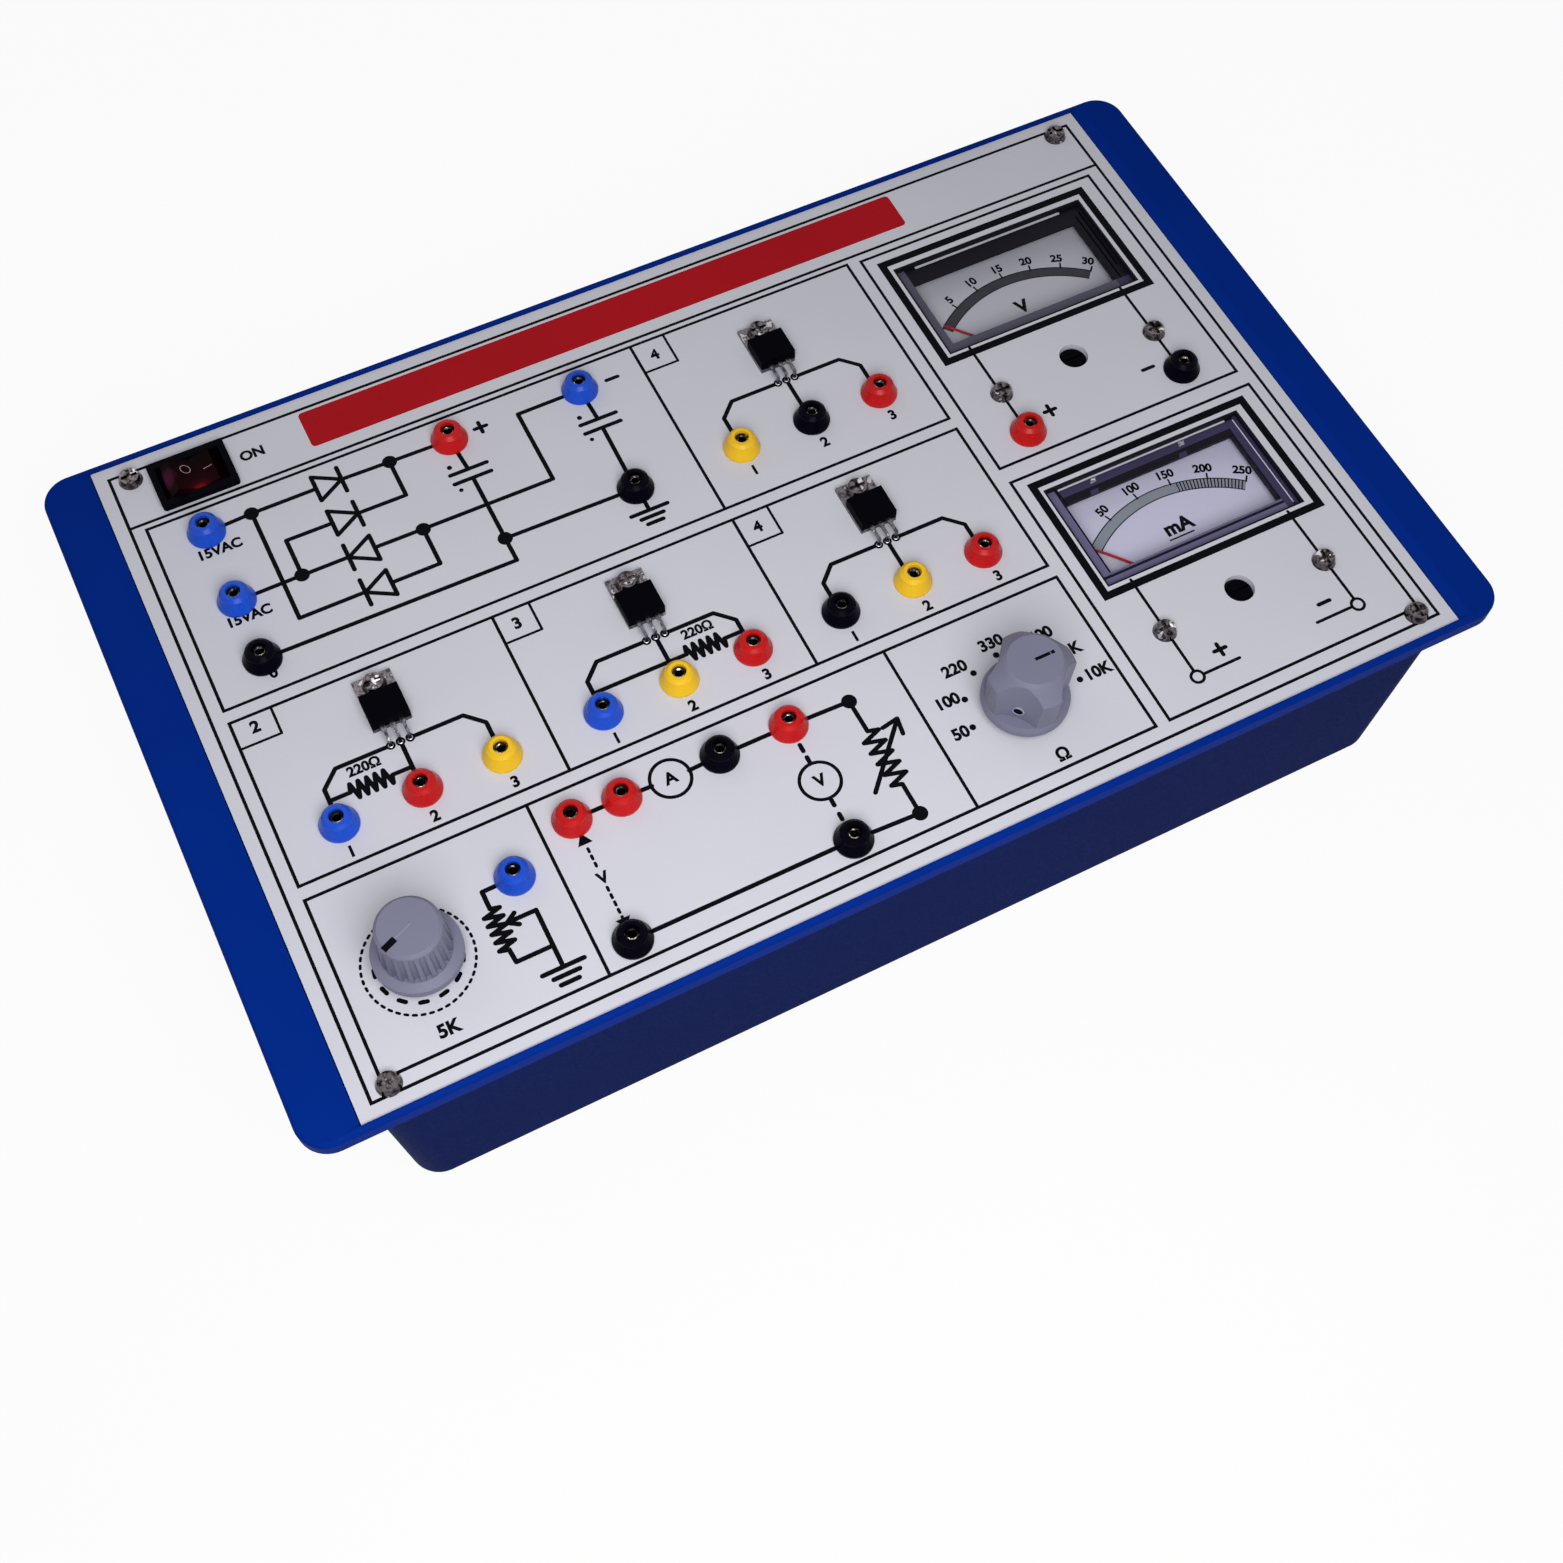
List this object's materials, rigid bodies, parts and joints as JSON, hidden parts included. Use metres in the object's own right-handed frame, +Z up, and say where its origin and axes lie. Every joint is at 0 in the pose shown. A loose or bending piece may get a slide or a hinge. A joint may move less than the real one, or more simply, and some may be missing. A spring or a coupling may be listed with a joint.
{
  "type": "voltage regulator trainer",
  "caption": "Bench trainer: a shallow moulded box with a printed panel of sockets, regulators, two panel meters, a rocker switch and two knobs",
  "frame": {"origin": "bottom centre of the box, on the bench", "axes": "+X along the long side to the right, +Y to the back, +Z up"},
  "size_m": [0.328, 0.2, 0.0873],
  "materials": {
    "case_blue": "satin",
    "cover_blue": "satin",
    "panel": "satin, printed in navy",
    "chrome": "polished",
    "zinc_steel": "plated",
    "rubber": "matt",
    "black_plastic": "satin",
    "rocker_red": "translucent",
    "lamp": "clear",
    "socket_blue": "moulded",
    "socket_red": "moulded",
    "socket_yellow": "moulded",
    "socket_black": "moulded",
    "brass": "plated",
    "tinned": "tinned",
    "knob": "satin",
    "resistor": "lacquered",
    "board": "lacquered",
    "clear": "clear",
    "dial": "matt, printed",
    "magnet": "plain",
    "coil": "wound",
    "needle_red": "painted",
    "core_steel": "laminated",
    "winding": "taped",
    "aluminium": "plain",
    "capacitor": "sleeved"
  },
  "bodies": {
    "housing": {"base_box": "case_blue", "top_cover": "cover_blue", "front_panel": "panel", "panel_screws": "chrome", "rubber_feet": "rubber", "foot_screws": "zinc_steel", "rocker_housing": "black_plastic", "rocker_terminals": "brass", "rocker_lamp": "lamp", "blue_sockets": "socket_blue", "red_sockets": "socket_red", "yellow_sockets": "socket_yellow", "black_sockets": "socket_black", "socket_contacts": "brass", "socket_nuts": "brass", "regulator_bodies": "black_plastic", "regulator_tabs": "tinned", "regulator_leads": "tinned", "regulator_screws": "chrome", "regulator_nuts": "zinc_steel", "pot_case": "zinc_steel", "pot_nut": "zinc_steel", "pot_track": "black_plastic", "pot_tags": "tinned", "load_switch_case": "black_plastic", "load_switch_nut": "zinc_steel", "load_switch_tags": "tinned", "fixed_resistors": "resistor", "load_board": "board", "meter_cases": "black_plastic", "meter_bezels": "black_plastic", "meter_covers": "clear", "meter_dials": "dial", "meter_magnets": "magnet", "meter_screws": "chrome", "meter_studs": "brass", "transformer_core": "core_steel", "transformer_winding": "winding", "transformer_strap": "zinc_steel", "floor_screws": "zinc_steel", "circuit_board": "board", "rectifier_diodes": "black_plastic", "filter_capacitors": "capacitor", "mains_inlet": "black_plastic", "inlet_pins": "tinned"},
    "rocker": {"rocker_button": "rocker_red"},
    "pot_control": {"pot_knob": "knob", "pot_set_screw": "zinc_steel", "pot_shaft": "aluminium"},
    "load_control": {"load_knob": "knob", "load_set_screw": "zinc_steel", "load_shaft": "aluminium"},
    "voltmeter_hand": {"voltmeter_movement": "coil", "voltmeter_needle": "needle_red"},
    "ammeter_hand": {"ammeter_movement": "coil", "ammeter_needle": "needle_red"},
    "voltmeter_zero": {"voltmeter_zero_screw": "clear"},
    "ammeter_zero": {"ammeter_zero_screw": "clear"},
    "drawer": {"fuse_drawer": "black_plastic", "fuse_link": "clear"}
  },
  "joints": [
    {"name": "rocker_tilt", "type": "hinge", "parent": "housing", "child": "rocker", "pos_m": [-0.1258, 0.0857, 0.064], "axis": [0, -1, 0], "range_deg": [0, 16]},
    {"name": "pot_turn", "type": "hinge", "parent": "housing", "child": "pot_control", "pos_m": [-0.1234, -0.06709, 0.065], "axis": [0, 0, 1], "range_deg": [-263, 37]},
    {"name": "load_select", "type": "hinge", "parent": "housing", "child": "load_control", "pos_m": [0.03645, -0.07017, 0.065], "axis": [0, 0, 1], "range_deg": [0, 180]},
    {"name": "voltmeter_swing", "type": "hinge", "parent": "housing", "child": "voltmeter_hand", "pos_m": [0.1042, 0.019, 0.05], "axis": [0, 0, 1], "range_deg": [-80, 0], "stiffness_Nm_per_rad": 0.00002},
    {"name": "voltmeter_zero_turn", "type": "hinge", "parent": "housing", "child": "voltmeter_zero", "pos_m": [0.1042, 0.019, 0.065], "axis": [0, 0, 1], "range_deg": [-15, 15]},
    {"name": "ammeter_swing", "type": "hinge", "parent": "housing", "child": "ammeter_hand", "pos_m": [0.1042, -0.0651, 0.05], "axis": [0, 0, 1], "range_deg": [-80, 0], "stiffness_Nm_per_rad": 0.00002},
    {"name": "ammeter_zero_turn", "type": "hinge", "parent": "housing", "child": "ammeter_zero", "pos_m": [0.1042, -0.0651, 0.065], "axis": [0, 0, 1], "range_deg": [-15, 15]},
    {"name": "fuse_drawer_slide", "type": "slide", "parent": "housing", "child": "drawer", "axis": [0, 1, 0], "range_m": [0, 0.009]}
  ]
}
